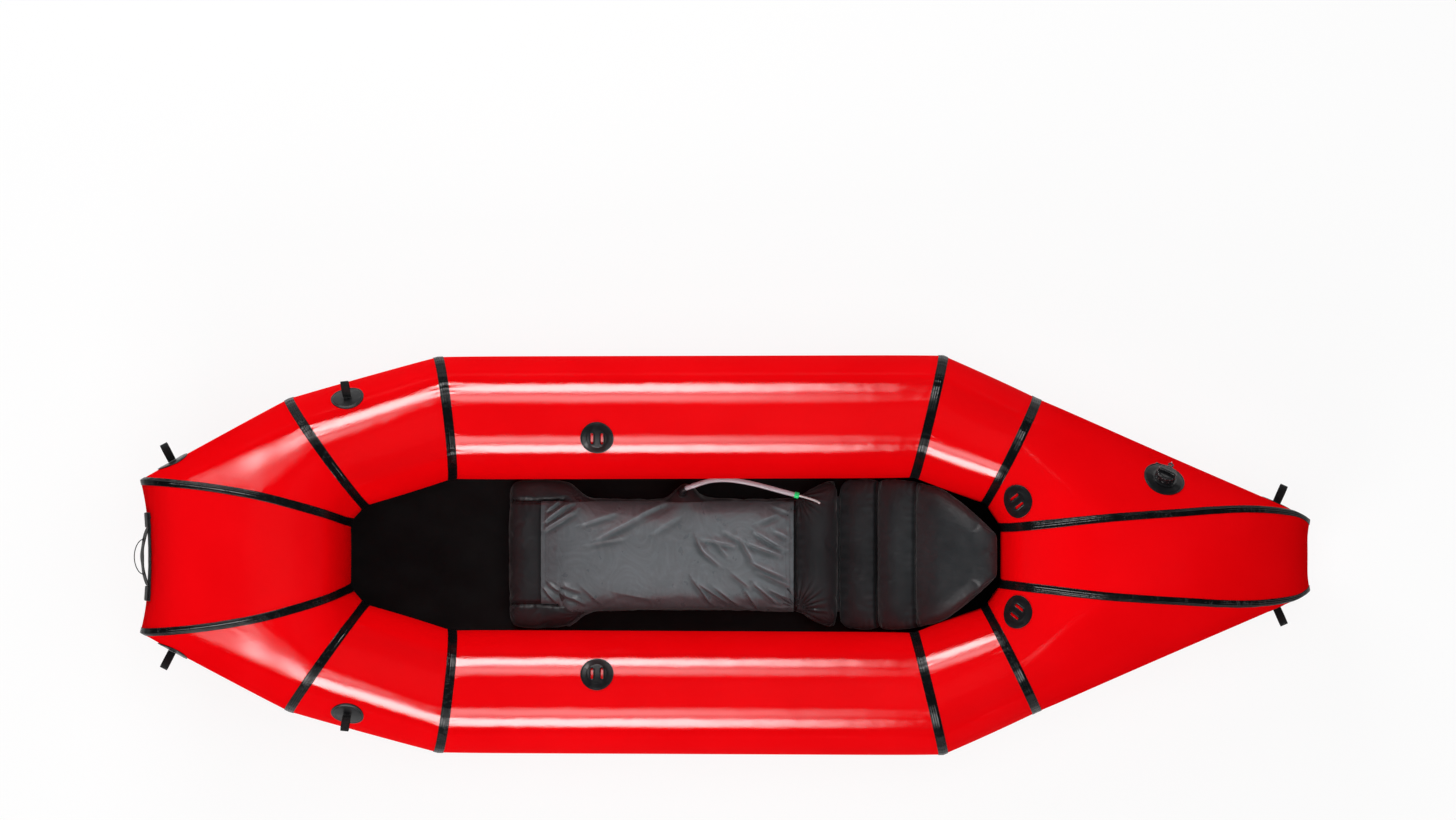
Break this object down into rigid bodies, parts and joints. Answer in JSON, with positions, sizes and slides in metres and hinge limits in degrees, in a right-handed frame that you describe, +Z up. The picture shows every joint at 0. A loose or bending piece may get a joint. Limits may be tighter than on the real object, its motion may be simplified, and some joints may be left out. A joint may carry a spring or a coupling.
{
  "type": "inflatable packraft",
  "caption": "Inflatable packraft with raised bow, long tapered stern, taped welded seams, fabric floor, tie-down loops, air valve, seat and backrest.",
  "frame": {"origin": "on the ground under the middle of the boat's box", "axes": "+X to the stern, +Y to the side that carries the valve, +Z up"},
  "size_m": [2.4056, 0.8216, 0.3816],
  "materials": {
    "red_coated_fabric": "gloss",
    "seam_tape": "gloss",
    "floor_fabric": "matte",
    "moulded_patch": "satin",
    "webbing": "woven",
    "valve_plastic": "satin",
    "poppet_plastic": "matte",
    "spring_steel": "bright",
    "cord": "braided",
    "seat_fabric": "matte",
    "cover_fabric": "satin",
    "clear_hose": "clear",
    "green_plastic": "gloss"
  },
  "bodies": {
    "hull": {"bow_panel": "red_coated_fabric", "stern_panel": "red_coated_fabric", "port_bow_quarter_panel": "red_coated_fabric", "port_fore_panel": "red_coated_fabric", "port_main_panel": "red_coated_fabric", "port_aft_panel": "red_coated_fabric", "port_stern_quarter_panel": "red_coated_fabric", "starboard_bow_quarter_panel": "red_coated_fabric", "starboard_fore_panel": "red_coated_fabric", "starboard_main_panel": "red_coated_fabric", "starboard_aft_panel": "red_coated_fabric", "starboard_stern_quarter_panel": "red_coated_fabric", "port_bow_gore_tape": "seam_tape", "port_bow_quarter_tape": "seam_tape", "port_fore_tape": "seam_tape", "port_aft_tape": "seam_tape", "port_stern_quarter_tape": "seam_tape", "port_stern_gore_tape": "seam_tape", "starboard_bow_gore_tape": "seam_tape", "starboard_bow_quarter_tape": "seam_tape", "starboard_fore_tape": "seam_tape", "starboard_aft_tape": "seam_tape", "starboard_stern_quarter_tape": "seam_tape", "starboard_stern_gore_tape": "seam_tape", "floor": "floor_fabric", "port_bow_loop_patch": "moulded_patch", "port_fore_loop_patch": "moulded_patch", "port_stern_loop_patch": "moulded_patch", "starboard_bow_loop_patch": "moulded_patch", "starboard_fore_loop_patch": "moulded_patch", "starboard_stern_loop_patch": "moulded_patch", "port_mid_lash_patch": "moulded_patch", "port_aft_lash_patch": "moulded_patch", "starboard_mid_lash_patch": "moulded_patch", "starboard_aft_lash_patch": "moulded_patch", "valve_flange": "moulded_patch", "valve_body": "valve_plastic", "valve_spring": "spring_steel", "bow_handle_base": "webbing", "bow_handle_strap": "webbing", "bow_cord_loop": "cord", "seat_cushion": "seat_fabric", "seat_cover": "cover_fabric", "hose_inlet": "moulded_patch", "seat_hose": "clear_hose", "hose_collar": "green_plastic", "hose_tip": "clear_hose"},
    "port_bow_loop": {"port_bow_loop": "webbing"},
    "port_fore_loop": {"port_fore_loop": "webbing"},
    "port_stern_loop": {"port_stern_loop": "webbing"},
    "starboard_bow_loop": {"starboard_bow_loop": "webbing"},
    "starboard_fore_loop": {"starboard_fore_loop": "webbing"},
    "starboard_stern_loop": {"starboard_stern_loop": "webbing"},
    "backrest": {"backrest": "seat_fabric"},
    "valve_poppet": {"valve_poppet": "poppet_plastic"},
    "cap_tether": {"cap_tether": "moulded_patch"},
    "valve_cap": {"valve_cap": "valve_plastic"}
  },
  "joints": [
    {"name": "port_bow_loop_hinge", "type": "hinge", "parent": "hull", "child": "port_bow_loop", "pos_m": [-1.13088, 0.19754, 0.27536], "axis": [0.8899, 0.4561, -0.0122], "range_deg": [-55, 55]},
    {"name": "port_fore_loop_hinge", "type": "hinge", "parent": "hull", "child": "port_fore_loop", "pos_m": [-0.7742, 0.32837, 0.2504], "axis": [0.9931, 0.0924, 0.0718], "range_deg": [-55, 55]},
    {"name": "port_stern_loop_hinge", "type": "hinge", "parent": "hull", "child": "port_stern_loop", "pos_m": [1.13543, 0.11105, 0.1696], "axis": [0.9137, -0.4061, 0.013], "range_deg": [-55, 55]},
    {"name": "starboard_bow_loop_hinge", "type": "hinge", "parent": "hull", "child": "starboard_bow_loop", "pos_m": [-1.13088, -0.19754, 0.27536], "axis": [-0.8899, 0.4561, 0.0122], "range_deg": [-55, 55]},
    {"name": "starboard_fore_loop_hinge", "type": "hinge", "parent": "hull", "child": "starboard_fore_loop", "pos_m": [-0.7742, -0.32837, 0.2504], "axis": [-0.9931, 0.0924, -0.0718], "range_deg": [-55, 55]},
    {"name": "starboard_stern_loop_hinge", "type": "hinge", "parent": "hull", "child": "starboard_stern_loop", "pos_m": [1.13543, -0.11105, 0.1696], "axis": [-0.9137, -0.4061, -0.013], "range_deg": [-55, 55]},
    {"name": "backrest_fold", "type": "hinge", "parent": "hull", "child": "backrest", "pos_m": [0.24302, 0, 0.06812], "axis": [0, -1, 0], "range_deg": [0, 70]},
    {"name": "poppet_slide", "type": "slide", "parent": "hull", "child": "valve_poppet", "axis": [-0.2533, -0.68, -0.6881], "range_m": [0, 0.006], "stiffness_N_per_m": 150, "springref_m": -0.004, "deforming": ["valve_spring"]},
    {"name": "cap_lift", "type": "slide", "parent": "hull", "child": "cap_tether", "axis": [0.2533, 0.68, 0.6881], "range_m": [0, 0.006]},
    {"name": "cap_turn", "type": "hinge", "parent": "cap_tether", "child": "valve_cap", "pos_m": [0.89357, 0.15744, 0.30784], "axis": [0.2533, 0.68, 0.6881], "range_deg": [0, 720]}
  ],
  "couplings": [
    {"joint": "cap_turn", "follows": "cap_lift", "rad_per_m": 2094}
  ]
}
